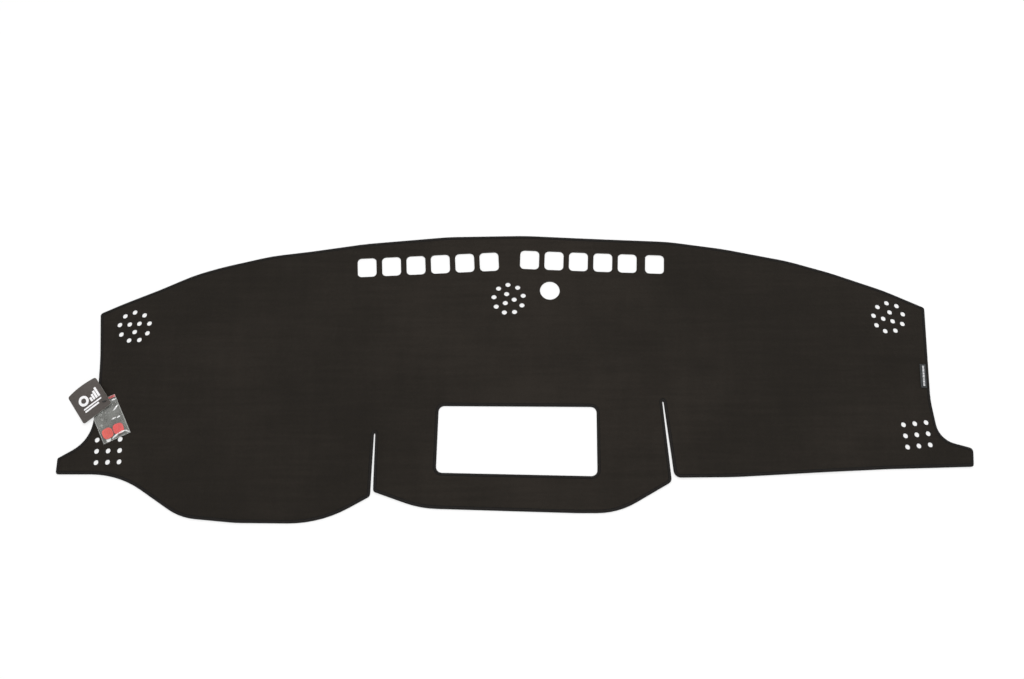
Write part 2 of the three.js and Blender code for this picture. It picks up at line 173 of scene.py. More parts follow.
class StageSettings(bpy.types.PropertyGroup):
    """Floor, light and camera"""
    floor: colour("Floor", "Colour of the floor", (0.965, 0.965, 0.962))
    pale: share("Paleness", "How much of the floor shows as plain white, whatever its shadow", 0.7)
    fill: FloatProperty(name="Fill", description="Strength of the even light from all round",
                        default=0.52, min=0)
    key: FloatProperty(name="Key", description="Power of the soft light overhead",
                       default=43, min=0, unit="POWER")
    front: FloatProperty(name="Front", description="Power of the soft light in front",
                         default=7, min=0, unit="POWER")
    camera_height: length("Camera height", "Camera above the floor", 2.0)
    camera_back: length("Camera distance", "Camera in front of the middle of the mat", 0.533)
    camera_side: length("Camera offset", "Camera to the right of the middle of the mat",
                        -5.378 * MM)
    camera_tilt: FloatProperty(name="Camera tilt", description="Away from straight down",
                               default=math.radians(16.5), unit="ROTATION", subtype="ANGLE")
    camera_lens: FloatProperty(name="Lens", description="Focal length in millimetres",
                               default=46.33, min=1)


# Shader expressions

class Wire:
    """A shader socket that can stand in a Python expression"""

    def __init__(self, finish, socket):
        self.finish = finish
        self.socket = socket

    def joined(self, operation, first, second):
        return self.finish.node("ShaderNodeMath", {"operation": operation}, [first, second])

    def __add__(self, other):
        return self.joined("ADD", self, other)

    def __radd__(self, other):
        return self.joined("ADD", other, self)

    def __mul__(self, other):
        return self.joined("MULTIPLY", self, other)

    def __rmul__(self, other):
        return self.joined("MULTIPLY", other, self)


class Finish:
    """A node material whose pattern is written as expressions"""

    def __init__(self, name, **fixed):
        self.material = bpy.data.materials.new(name)
        self.material.use_nodes = True
        self.tree = self.material.node_tree
        self.shader = self.tree.nodes["Principled BSDF"]
        for socket, value in fixed.items():
            self.shader.inputs[socket.replace("_", " ")].default_value = value
        self.place = self.node("ShaderNodeTexCoord", output="Object")
        self.surface = self.node("ShaderNodeTexCoord", output="UV")

    def put(self, socket, value):
        """Links a wire into a socket, or sets the socket to a value"""
        if isinstance(value, Wire):
            self.tree.links.new(value.socket, socket)
        elif socket.type == "RGBA" and len(value) == 3:
            socket.default_value = (*value, 1)
        else:
            socket.default_value = value

    def node(self, kind, settings=None, values=(), output=0):
        made = self.tree.nodes.new(kind)
        for name, value in (settings or {}).items():
            setattr(made, name, value)
        pairs = values.items() if isinstance(values, dict) else enumerate(values)
        for name, value in pairs:
            self.put(made.inputs[name], value)
        return Wire(self, made.outputs[output])

    def feed(self, socket, value):
        self.put(self.shader.inputs[socket], value)

    def stretched(self, scale):
        """Object coordinates drawn out by a scale along each axis"""
        return self.node("ShaderNodeMapping", values={"Vector": self.place, "Scale": scale})

    def noise(self, scale, detail=3.0, rough=0.5, on=None):
        return self.node("ShaderNodeTexNoise", values={
            "Vector": on or self.place, "Scale": scale, "Detail": detail, "Roughness": rough})

    def spread(self, value, low, high, to_low=0.0, to_high=1.0):
        """A value's band from low to high, moved to another band and held there"""
        return self.node("ShaderNodeMapRange", {"interpolation_type": "SMOOTHSTEP"}, {
            "Value": value, "From Min": low, "From Max": high, "To Min": to_low, "To Max": to_high})

    def between(self, value, limits):
        """1 between a pair of soft limits"""
        rising, falling = limits
        return self.spread(value, *rising) * self.spread(value, *falling)

    def mix(self, factor, first, second):
        made = self.tree.nodes.new("ShaderNodeMix")
        made.data_type = "RGBA"
        self.put(made.inputs["Factor"], factor)
        self.put(made.inputs[6], first)
        self.put(made.inputs[7], second)
        return Wire(self, made.outputs[2])

    def bump(self, height, distance):
        self.feed("Normal", self.node("ShaderNodeBump", values={
            "Height": height, "Distance": distance, "Strength": 1.0}))


def pile_finish(settings):
    """Short matt velour: cloudy where brushing left the nap, with fine streaks along the roll, and
    painted light along the middle of the mat
    """
    finish = Finish("pile", Roughness=0.96, Sheen_Weight=0.12, Sheen_Roughness=0.55,
                    Specular_IOR_Level=0.12)
    finish.put(finish.shader.inputs["Sheen Tint"], (0.78, 0.70, 0.62))
    clouds = finish.noise(5.5, 4.0, 0.55)
    streaks_and_painted_light = finish.noise(1.0, 3.0, 0.6, finish.stretched((9, 150, 40)))
    across = finish.noise(1.0, 2.0, 0.5, finish.stretched((70, 11, 40)))
    mottle = finish.noise(210, 2.0, 0.6)
    grain = finish.noise(1900, 2.0, 0.6)
    side = finish.node("ShaderNodeSeparateXYZ", values=[finish.place], output="X")
    # Painted light: the pile is painted lighter in a band along the middle of the mat
    middle = finish.between(side, PAINTED_LIGHT_BAND)
    tone = (clouds * 0.42 + streaks_and_painted_light * 0.22 + across * 0.1 + mottle * 0.14 + grain * 0.12
            + middle * settings.streaks_and_painted_light)
    finish.feed("Base Color", finish.mix(finish.spread(tone, 0.39, 0.73),
                                         settings.dark, settings.light))
    finish.feed("Roughness", finish.spread(grain, 0.3, 0.7, 0.90, 1.0))
    finish.bump(grain * 0.7 + mottle * 0.8 + streaks_and_painted_light * 0.35, settings.nap)
    return finish.material


def felt_finish(settings):
    """Needled felt on the underside"""
    finish = Finish("felt backing", Roughness=0.95, Specular_IOR_Level=0.15)
    fibres = finish.noise(1400, 3.0, 0.7)
    matted = finish.noise(120, 3.0, 0.6)
    dark = Vector(settings.felt) * 0.75
    finish.feed("Base Color", finish.mix(finish.spread(fibres * 0.6 + matted * 0.4, 0.35, 0.65),
                                         dark, settings.felt))
    finish.bump(fibres + matted * 0.6, settings.nap * 0.6)
    return finish.material


def thread_finish(name, colour, outer, filament=900):
    """Textured yarn with fine filaments, and painted shade on the band's outer wall and on its lip
    at the needle line
    """
    finish = Finish(name, Roughness=0.85, Specular_IOR_Level=0.15, Sheen_Weight=0.04)
    filaments = finish.noise(1.0, 2.0, 0.6, finish.stretched((filament, filament, filament * 2)))
    side = finish.node("ShaderNodeSeparateXYZ", values=[finish.surface], output="Y")
    # Painted shade on the band's outer wall and on its lip at the needle line
    wall_shade = finish.between(side, WALL_SHADE)
    groove_shade = finish.between(side, GROOVE_SHADE)
    lit = finish.mix(finish.spread(filaments, 0.3, 0.7, 0.0, 0.45), colour, outer)
    finish.feed("Base Color", finish.mix(wall_shade * DARKENED + groove_shade * DARKENED, lit, outer))
    finish.feed("Roughness", finish.spread(filaments, 0.3, 0.7, 0.7, 0.9))
    finish.bump(filaments, 0.25 * MM)
    return finish.material


def woven_finish(name, colour, threads=2600):
    """Dense damask tape"""
    finish = Finish(name, Roughness=0.55, Specular_IOR_Level=0.4, Sheen_Weight=0.15)
    weave = finish.node("ShaderNodeTexChecker", values={"Vector": finish.place, "Scale": threads})
    thick = finish.noise(700, 2.0, 0.6)
    darker = Vector(colour) * 0.6
    finish.feed("Base Color", finish.mix(thick * 0.7 + 0.1, darker, colour))
    finish.bump(finish.spread(thick, 0, 1) + finish.node("ShaderNodeRGBToBW", values=[weave]) * 0.2,
                0.12 * MM)
    return finish.material


def card_finish(settings):
    """Printed face of the card, with the soft gloss of its varnish"""
    finish = Finish("printed card", Roughness=0.5, Specular_IOR_Level=0.35)
    paper = finish.noise(260, 4.0, 0.6)
    fine = finish.noise(2200, 2.0, 0.5)
    darker = Vector(settings.card) * 0.84
    lighter = Vector(settings.card) * 1.12
    finish.feed("Base Color", finish.mix(finish.spread(paper * 0.6 + fine * 0.4, 0.36, 0.64),
                                         darker, lighter))
    finish.feed("Roughness", finish.spread(paper, 0.3, 0.7, 0.42, 0.6))
    finish.bump(paper + fine * 0.5, 0.06 * MM)
    return finish.material


def plain_finish(name, colour, roughness, grain=800, contrast=0.2, specular=0.5, depth=0.05 * MM):
    """Moulded, printed or cut surface with a fine grain of its own"""
    finish = Finish(name, Roughness=roughness, Specular_IOR_Level=specular)
    specks = finish.noise(grain, 3.0, 0.6)
    darker = Vector(colour) * (1 - contrast)
    finish.feed("Base Color", finish.mix(finish.spread(specks, 0.3, 0.7), darker, colour))
    finish.feed("Roughness", finish.spread(specks, 0.3, 0.7, roughness * 0.85, roughness))
    finish.bump(specks, depth)
    return finish.material


def film_finish(settings):
    """Clear film with creases and a cloudy haze; painted glints turn it white and more opaque along
    the creases and in scattered spots
    """
    finish = Finish("clear film", Roughness=0.12, Specular_IOR_Level=0.6, IOR=1.5)
    crease = finish.node("ShaderNodeAttribute", {"attribute_name": CREASE_AND_GLINT}, output="Fac")
    hazy = finish.mix(finish.noise(60, 2.0), settings.film, (0.84, 0.86, 0.82))
    # Painted glints: the film's colour turns white along the creases, and paler at the sealed edges
    finish.feed("Base Color", finish.mix(crease, hazy, (0.95, 0.95, 0.95)))
    bent = finish.noise(95, 2.0, 0.55)
    broad = finish.noise(42, 2.0, 0.5)
    glint = finish.spread(bent, 0.635, 0.70) * finish.spread(broad, 0.47, 0.56)
    # Painted glints along the creases, broken up, where the film turns nearly opaque
    broken_glints = crease * finish.spread(finish.noise(420, 2.0, 0.6), 0.25, 0.50)
    cloudy = finish.spread(broad, 0.3, 0.7, settings.haze * 0.75, settings.haze * 1.3)
    finish.feed("Alpha", cloudy + glint * 0.2 + broken_glints * 0.8)
    finish.bump(bent + broad * 0.5, 0.5 * MM)
    return finish.material


def seen_directly(tree):
    """The rays that see a surface itself: from the camera, in a gloss or through film"""
    path = tree.nodes.new("ShaderNodeLightPath")
    seen = path.outputs["Is Camera Ray"]
    for ray in ("Is Glossy Ray", "Is Transmission Ray"):
        either = tree.nodes.new("ShaderNodeMath")
        either.operation = "MAXIMUM"
        tree.links.new(seen, either.inputs[0])
        tree.links.new(path.outputs[ray], either.inputs[1])
        seen = either.outputs[0]
    return seen


def floor_finish(settings):
    """Pale floor that shows as white round the mat and still takes its shadow"""
    finish = Finish("studio floor", Roughness=0.9, Specular_IOR_Level=0.0)
    finish.feed("Base Color", settings.floor)
    seen = Wire(finish, seen_directly(finish.tree))
    white = finish.node("ShaderNodeEmission", values={"Strength": 1.0})
    shaded = Wire(finish, finish.shader.outputs[0])
    surface = finish.node("ShaderNodeMixShader", values=[seen * settings.pale, shaded, white])
    finish.put(finish.tree.nodes["Material Output"].inputs["Surface"], surface)
    return finish.material


# Meshes

def merged(node):
    """A copy of a frame node's mesh with its shared corners joined"""
    bm = bmesh.new()
    bm.from_mesh(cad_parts[node].data)
    bmesh.ops.remove_doubles(bm, verts=bm.verts, dist=1e-6)
    bmesh.ops.dissolve_limit(bm, angle_limit=math.radians(0.2), verts=bm.verts, edges=bm.edges)
    return bm


def bevelled(bm, edges, offset, segments=2):
    bmesh.ops.bevel(bm, geom=edges, offset=offset, offset_type="OFFSET", segments=segments,
                    profile=0.5, affect="EDGES", material=-1, clamp_overlap=True)


def sharp_edges(bm, angle=30):
    return [e for e in bm.edges if len(e.link_faces) == 2
            and e.calc_face_angle() > math.radians(angle)]


def finished(bm, name, materials, replaces=(), smooth=True):
    """Turns a bmesh into a piece that rides on the mat"""
    mesh = bpy.data.meshes.new(name)
    bm.to_mesh(mesh)
    bm.free()
    mesh.shade_smooth() if smooth else mesh.shade_flat()
    for material in materials:
        mesh.materials.append(material)
    piece = bpy.data.objects.new(name, mesh)
    bpy.context.scene.collection.objects.link(piece)
    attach(piece, BODY)
    if replaces:
        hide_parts(*replaces)
    return piece


def settled(piece):
    """Keeps flat faces flat beside narrow roundings"""
    weighted = piece.modifiers.new("flat faces stay flat", "WEIGHTED_NORMAL")
    weighted.keep_sharp = True
    return piece


def seat(node):
    """A flat node's own frame and size: Z out of its largest face, X the nearest to world X"""
    bm = merged(node)
    widest = max(bm.faces, key=lambda face: face.calc_area())
    up = widest.normal * (1 if widest.normal.z > 0 else -1)
    longest = max(widest.edges, key=lambda edge: edge.calc_length())
    along = (longest.verts[1].co - longest.verts[0].co).normalized()
    sides = [along, up.cross(along)]
    sides = [side * (1 if side.x > 0 else -1) for side in sides]
    right = max(sides, key=lambda side: side.x)
    turn = Matrix((right, up.cross(right), up)).transposed()
    local = np.array([turn.inverted() @ v.co for v in bm.verts])
    bm.free()
    low, high = Vector(local.min(0)), Vector(local.max(0))
    return Matrix.Translation(turn @ ((low + high) / 2)) @ turn.to_4x4(), high - low


def smoothstep(low, high, value):
    t = np.clip((value - low) / (high - low), 0, 1)
    return t * t * (3 - 2 * t)


# How the mat lies

# Where the front edge lifts, in metres, and by what share of the full curl: beside both slits, at
# the foot of the right wing and along the left apron
LIFTS = ((-0.236, -0.165, 0.8), (-0.190, -0.165, 0.6), (0.226, -0.150, 0.7),
         (0.262, -0.140, 1.0), (0.480, -0.152, 0.7), (-0.420, -0.225, 0.4))
FADE = 2.2                  # how steeply a lift dies away over its reach

WANDER = 1.9                # radians by which a wave's crest wanders as it crosses the mat
WANDER_TURNS = 8.5          # and how fast it does so, in radians to the metre
FIRST_CREST = 0.6           # radians
SWELL_ACROSS = 13.0         # how fast the waves swell and fade, in radians to the metre
SWELL_ALONG = 4.1
PRESSED_FLAT = (70 * MM, 190 * MM)      # from the bag's middle: flat within, at full height beyond


def rise(x, y):
    """How far the mat lifts off the ground at a place; it lies flat under tag and bag"""
    lie = bpy.context.scene.mat_lie
    long = 2 * math.pi / lie.wave_length
    crests = 0.5 + 0.5 * np.sin(long * x + WANDER * np.sin(WANDER_TURNS * y) + FIRST_CREST)
    swell = 0.55 + 0.45 * np.sin(SWELL_ACROSS * y - SWELL_ALONG * x)
    high = lie.wave * (crests * swell)
    for lift_x, lift_y, amount in LIFTS:
        away = np.hypot(x - lift_x, y - lift_y) / lie.curl_reach
        high = high + lie.curl * amount * np.exp(-away * away * FADE)
    return high * smoothstep(*PRESSED_FLAT, np.hypot(x - BAG_MIDDLE.x, y - BAG_MIDDLE.y))


def laid(bm):
    """Lets the vertices of a piece follow the way that the mat lies"""
    x, y = np.array([vert.co[:2] for vert in bm.verts]).T
    for vert, height in zip(bm.verts, rise(x, y)):
        vert.co.z += height


# Sewn edges

LINE_EASE = 0.9 * MM        # how far the corners of the cut are rounded off under the thread
TURN_EASE = 3.2 * MM        # and how far round them the turns of thread fan out


class SewnEdge:
    """The line that an overlock follows, with the direction from it into the panel"""

    def __init__(self, node, pitch, inwards):
        bm = merged(node)
        corners = {v for v in bm.verts if abs(v.co.z - CHAMFER_HEIGHT) < 1e-5}
        start = min(corners, key=lambda v: v.co.x)
        loop, last = [start], None
        while len(loop) < len(corners):
            step = [e.other_vert(loop[-1]) for e in loop[-1].link_edges]
            step = [v for v in step if v in corners and v is not last and v not in loop[-3:]]
            last = loop[-1]
            loop.append(step[0])
        points = np.array([v.co[:2] for v in loop])
        bm.free()
        if self.turning(points) < 0:
            points = points[::-1]
        ahead = np.roll(points, -1, 0)
        run = np.concatenate([[0], np.cumsum(np.linalg.norm(ahead - points, axis=1))])
        self.count = 2 * round(run[-1] / pitch)
        self.step = run[-1] / self.count
        closed = np.vstack([points, points[:1]])
        spots = np.arange(self.count) * self.step
        self.points = np.column_stack([np.interp(spots, run, closed[:, i]) for i in (0, 1)])
        self.points = self.eased(self.points, LINE_EASE)
        along = np.roll(self.points, -1, 0) - np.roll(self.points, 1, 0)
        normals = np.column_stack([-along[:, 1], along[:, 0]]) * inwards
        normals /= np.linalg.norm(normals, axis=1)[:, None]
        normals = self.eased(normals, TURN_EASE)
        self.into = normals / np.linalg.norm(normals, axis=1)[:, None]

    @staticmethod
    def turning(points):
        """Positive where the loop runs anticlockwise"""
        x, y = points.T
        return float((x * np.roll(y, -1) - y * np.roll(x, -1)).sum())

    def eased(self, values, reach):
        """The values averaged with their neighbours over a reach"""
        for _ in range(round(2 * (reach / self.step) ** 2)):
            values = (np.roll(values, 1, 0) + 2 * values + np.roll(values, -1, 0)) / 4
        return values

    def swept(self, across, height, along=0.0):
        """A closed band round the loop: one row of the arrays for each point on it, and one
        column for each corner of the section, as distances from the edge and the ground"""
        rows, columns = across.shape
        bm = bmesh.new()
        bm.loops.layers.uv.new("UVMap")
        bmesh.ops.create_grid(bm, x_segments=rows, y_segments=columns, size=0.5, calc_uvs=True)
        spots = np.arange(rows)[:, None] + along / self.step * np.ones_like(across)
        base, part = np.floor(spots).astype(int), (spots % 1)[..., None]
        here, ahead = base % rows, (base + 1) % rows
        points = self.points[here] * (1 - part) + self.points[ahead] * part
        into = self.into[here] * (1 - part) + self.into[ahead] * part
        plan = points + into * across[..., None]
        high = height + rise(plan[..., 0], plan[..., 1])
        for vert in bm.verts:
            row = round((vert.co.x + 0.5) * rows) % rows
            column = round((vert.co.y + 0.5) * columns) % columns
            vert.co = (*plan[row, column], high[row, column])
        bmesh.ops.remove_doubles(bm, verts=bm.verts, dist=1e-7)
        bmesh.ops.recalc_face_normals(bm, faces=bm.faces)
        return bm


# Overlock section from its inner lip under the panel, round the edge, to the lip on top, and
# back through the groove that holds the panel: distance from the edge and height, in mm
BAND_SECTION = ((4.55, 0.5), (3.4, 0.22), (2.0, 0.22), (0.8, 0.6), (0.1, 1.5), (-0.05, 2.7),
                (0.1, 3.95), (0.75, 4.85), (2.0, 5.25), (3.3, 5.12), (4.2, 4.78), (4.62, 4.42),
                (3.0, 4.28), (1.25, 4.1), (1.15, 1.3), (3.0, 1.12))
OUTSIDE = 12                # how many of them lie outside, where the turns of thread show

STITCH_STEPS = 6            # places along a needle stitch, and corners round it
STITCH_ENDS = 0.35          # width of a stitch where it goes down, as a share of its full width


def overlock(node, inwards):
    """The band of thread that is sewn over an edge"""
    thread = bpy.context.scene.mat_thread
    edge = SewnEdge(node, thread.pitch, inwards)
    section = np.array(BAND_SECTION) * MM
    middle = section.mean(0)
    out = section - middle
    out /= np.linalg.norm(out, axis=1)[:, None]
    out[OUTSIDE:] = 0
    turn = np.where(np.arange(edge.count) % 2, 1, -1)[:, None] * thread.relief
    steps = np.arange(len(section))
    slant = np.where(steps < OUTSIDE, steps / OUTSIDE - 0.5, 0) * thread.slant
    slant[OUTSIDE:] = np.interp(steps[OUTSIDE:], [OUTSIDE - 1, len(section)],
                                [slant[OUTSIDE - 1], slant[0]])
    bm = edge.swept(section[:, 0] + turn * out[:, 0], section[:, 1] + turn * out[:, 1],
                    np.tile(slant, (edge.count, 1)))
    yarn = thread_finish(f"{node} yarn", thread.colour, thread.outer)
    finished(bm, f"{node}_thread", [yarn], [node])


def needle_line(node, inwards):
    """The row of needle stitches at the inner side of the band"""
    thread = bpy.context.scene.mat_thread
    line = SewnEdge(node, 2 * thread.stitch / STITCH_STEPS, inwards)
    angles = np.arange(STITCH_STEPS) * 2 * math.pi / STITCH_STEPS
    place = np.arange(line.count) % STITCH_STEPS / STITCH_STEPS
    swell = STITCH_ENDS + (1 - STITCH_ENDS) * np.sin(math.pi * place) ** 0.5
    radius = swell[:, None] * thread.needle_width / 2
    across = BAND_WIDTH + radius * np.cos(angles)
    height = BAND_TOP - thread.needle_depth + radius * np.sin(angles)
    bm = line.swept(across, height)
    name = node.replace("_overlock", "")
    # Its dark colour is painted shade of the groove between band and pile
    yarn = thread_finish(f"{name} needle yarn", thread.needle, thread.needle)
    finished(bm, f"{name}_needle_thread", [yarn])


class MAT_OT_overlock(bpy.types.Operator):
    """Sew the overlock round the outline and round the display window"""
    bl_idname = "mat.overlock"
    bl_label = "Overlock"

    def execute(self, context):
        for node, inwards in SEWN_EDGES:
            overlock(node, inwards)
            needle_line(node, inwards)
        return {"FINISHED"}


BAND_GAP = 0.3 * MM         # between the band's inner lip and the panel's raised middle
SEWN_WITHIN = 1.0 * MM      # an edge of the panel this near to the band's lip is a sewn one


class MAT_OT_panel(bpy.types.Operator):
    """Lay the pile panel with its cut-outs"""
    bl_idname = "mat.panel"
    bl_label = "Pile panel"

    def execute(self, context):
        settings = context.scene.mat_pile
        bm = merged("mat_panel")
        rim = [e for e in sharp_edges(bm, 60)
               if all(abs(v.co.z - PANEL_TOP) < 1e-6 for v in e.verts)]
        near = self.sewn_places()
        sewn, cut = [], []
        for edge in rim:
            middle = (edge.verts[0].co + edge.verts[1].co) / 2
            (sewn if near.find(middle)[2] < SEWN_WITHIN else cut).append(edge)
        bevelled(bm, cut, settings.cut_rim)
        sewn = [e for e in sewn if e.is_valid]
        bevelled(bm, sewn, settings.rim, 4)
        low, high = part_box("mat_panel")
        for axis in (0, 1):
            cells = math.ceil((high[axis] - low[axis]) / settings.cell)
            across = Vector((axis == 0, axis == 1, 0))
            for i in range(1, cells):
                at = across * (low[axis] + (high[axis] - low[axis]) * i / cells)
                bmesh.ops.bisect_plane(bm, geom=[*bm.verts, *bm.edges, *bm.faces],
                                       plane_co=at, plane_no=across, dist=1e-6)
        flat_area = sum(f.calc_area() for f in bm.faces if f.normal.z > 0.7)
        for face in bm.faces:
            face.material_index = 1 if face.normal.z < -0.7 else 0
        laid(bm)
        piece = finished(bm, "mat_panel_pile", [pile_finish(settings), felt_finish(settings)],
                         ["mat_panel"])
        settled(piece)
        return {"FINISHED"}

    @staticmethod
    def sewn_places():
        """The panel's rim where the overlock meets it, as a search tree of places"""
        places = []
        for node, inwards in SEWN_EDGES:
            edge = SewnEdge(node, 2 * MM, inwards)
            plan = edge.points + edge.into * (BAND_WIDTH + BAND_GAP)
            places += [(x, y, PANEL_TOP) for x, y in plan]
        near = kdtree.KDTree(len(places))
        for i, place in enumerate(places):
            near.insert(place, i)
        near.balance()
        return near


# Marks on the side label
MARKS = (2.6, 1.4, 3.4, 1.4, 1.8, 4.2, 2.2, 1.4, 3.0, 2.4, 1.6)     # their lengths in mm
FIRST_MARK = 2.8 * MM       # from the label's near end
MARK_SPACE = 0.7            # mm between two marks
MARK_THICKNESS = 0.16 * MM
MARK_ASIDE = 0.5 * MM       # from the label's middle line, to the right


class MAT_OT_label(bpy.types.Operator):
    """Sew in the folded woven label"""
    bl_idname = "mat.label"
    bl_label = "Side label"

    def execute(self, context):
        settings = context.scene.mat_label
        bm = merged("side_label")
        place, size = seat("side_label")
        bevelled(bm, sharp_edges(bm, 40), 0.12 * MM)
        laid(bm)
        tape = finished(bm, "side_label_tape", [woven_finish("woven tape", settings.ground)],
                        ["side_label"])
        settled(tape)
        marks = bmesh.new()
        run = FIRST_MARK - size.y / 2
        for long in MARKS:
            self.mark(marks, settings.mark_width, long * MM, run, size)
            run += (long + MARK_SPACE) * MM
        bmesh.ops.transform(marks, matrix=place, verts=marks.verts)
        laid(marks)
        finished(marks, "side_label_marks",
                 [woven_finish("woven marks", settings.mark)])
        return {"FINISHED"}

    @staticmethod
    def mark(bm, width, long, start, size):
        stud = bmesh.ops.create_cube(bm, size=1)["verts"]
        bmesh.ops.scale(bm, vec=(width, long, MARK_THICKNESS), verts=stud)
        bmesh.ops.translate(bm, vec=(MARK_ASIDE, start + long / 2, size.z / 2), verts=stud)


# Printed figures, in mm from the card's middle
RING_MIDDLE = (-8.0, 4.5)
RING_RADIUS = 8.4
RING_HOLE = 0.5             # as a share of the ring
BARS = (7.0, 10.0, 13.0, 16.5)      # heights of the rising bars
BAR_WIDTH = 3.5
BAR_STEP = 4.5
FIRST_BAR = 3.6
BAR_FOOT = -3.9
LINES = (((1.5, -8.0), (33, 2.4)), ((-2.0, -12.3), (26, 2.8)))      # middle and size of each
CARD_CELLS = 18             # cells across the card, enough for its bow; the print has half as many


class MAT_OT_tag(bpy.types.Operator):
    """Hang the swing tag with its generic print, and its pin"""
    bl_idname = "mat.tag"
    bl_label = "Swing tag"

    def execute(self, context):
        settings = context.scene.mat_tag
        self.place, self.size = seat("hang_tag")
        self.bow = settings.bow
        card = merged("hang_tag")
        bmesh.ops.transform(card, matrix=self.place.inverted(), verts=card.verts)
        bevelled(card, sharp_edges(card, 60), 0.14 * MM)
        self.gridded(card, CARD_CELLS, (0, 1))
        for face in card.faces:
            face.material_index = 0 if abs(face.normal.z) > 0.8 else 1
        self.bowed(card)
        piece = finished(card, "swing_tag_card",
                         [card_finish(settings),
                          plain_finish("cut card edge", settings.core, 0.7, contrast=0.1)],
                         ["hang_tag"])
        settled(piece)
        ink = self.figures(settings)
        self.bowed(ink)
        white = plain_finish("white ink", settings.ink, 0.5, grain=1500, contrast=0.05)
        finished(ink, "swing_tag_print", [white], smooth=False)
        pin = merged("tag_pin")
        bevelled(pin, sharp_edges(pin, 60), 0.35 * MM, 3)
        finished(pin, "tag_pin_moulded", [plain_finish("moulded pin", settings.pin, 0.4)],
                 ["tag_pin"])
        return {"FINISHED"}

    def gridded(self, bm, cells, axes):
        """Cuts a flat shape into cells that can bow"""
        for axis in axes:
            across = Vector((axis == 0, axis == 1, 0))
            for i in range(1, cells):
                at = across * self.size[axis] * (i / cells - 0.5)
                bmesh.ops.bisect_plane(bm, geom=[*bm.verts, *bm.edges, *bm.faces],
                                       plane_co=at, plane_no=across, dist=1e-7)

    def bowed(self, bm):
        """Bows the card up along its far edge, and puts it in its place"""
        for vert in bm.verts:
            u = 2 * vert.co.x / self.size.x
            v = 0.5 + vert.co.y / self.size.y
            vert.co.z += self.bow * (1 - u * u) * v * v
        bmesh.ops.transform(bm, matrix=self.place, verts=bm.verts)

    def figures(self, settings):
        """Plain printed figures: a ring, rising bars and two lines"""
        bm = bmesh.new()
        ring = bmesh.ops.create_circle(bm, segments=40, radius=RING_RADIUS * MM)["verts"]
        edges = list({e for v in ring for e in v.link_edges})
        inner = bmesh.ops.extrude_edge_only(bm, edges=edges)["geom"]
        inner = [v for v in inner if isinstance(v, bmesh.types.BMVert)]
        bmesh.ops.scale(bm, vec=(RING_HOLE, RING_HOLE, 1), verts=inner)
        bmesh.ops.translate(bm, vec=(RING_MIDDLE[0] * MM, RING_MIDDLE[1] * MM, 0), verts=bm.verts)
        for i, tall in enumerate(BARS):
            self.bar(bm, (FIRST_BAR + BAR_STEP * i, tall / 2 + BAR_FOOT), (BAR_WIDTH, tall))
        for middle, size in LINES:
            self.bar(bm, middle, size)
        self.gridded(bm, CARD_CELLS // 2, (0,))
        bmesh.ops.recalc_face_normals(bm, faces=bm.faces)
        bmesh.ops.translate(bm, vec=(0, 0, self.size.z / 2), verts=bm.verts)
        bmesh.ops.solidify(bm, geom=bm.faces[:], thickness=-settings.ink_height)
        bmesh.ops.recalc_face_normals(bm, faces=bm.faces)
        return bm

    @staticmethod
    def bar(bm, middle, size):
        made = bmesh.ops.create_grid(bm, x_segments=1, y_segments=6, size=0.5)["verts"]
        bmesh.ops.scale(bm, vec=(size[0] * MM, size[1] * MM, 1), verts=made)
        bmesh.ops.translate(bm, vec=(middle[0] * MM, middle[1] * MM, 0), verts=made)


# The filled bag, in its own frame: its floor is down and its zip up along Y
SEAL_HEIGHT = 0.2 * MM      # upper film over the floor at the sealed edges
SEAL_REACH = 4.5 * MM       # how far from them the film has its full height
EMPTY_SWELL = 0.85 * MM     # height of the film over an empty part of the bag
PAD_SWELL = 2.75 * MM       # how much higher it lies over the pads
PADS_TO = (-10 * MM, 6 * MM)        # where that height ends, softly
FOLDS = (130, 95)           # folds to the metre across the bag and along it
SEALED_CREASE = 0.3         # how sharply the sealed edges are creased
CREASE_CORE = 0.4 * MM      # half width of a crease at its sharpest
CREASE_REACH = 2.2 * MM     # and where it has died away
HEADER_WIDTH = 4.2 * MM
HEADER_BELOW = 2.4 * MM     # from the zip's edge to the middle of the header band
HEADER_INSET = 0.6 * MM     # how much narrower than the bag it is
HEADER_THICKNESS = 0.12 * MM
HEADER_LIFT = 0.02 * MM     # off the film
ZIP_RIBS = (9.0 * MM, 10.6 * MM)    # from the zip's edge
RIB_RADIUS = 0.4 * MM
RIB_HEIGHT = 0.95 * MM      # of its middle over the floor
RIB_INSET = 1 * MM          # how much shorter than the bag is wide
RIB_COLOUR = (0.55, 0.57, 0.56)
RIB_ALPHA = 0.45


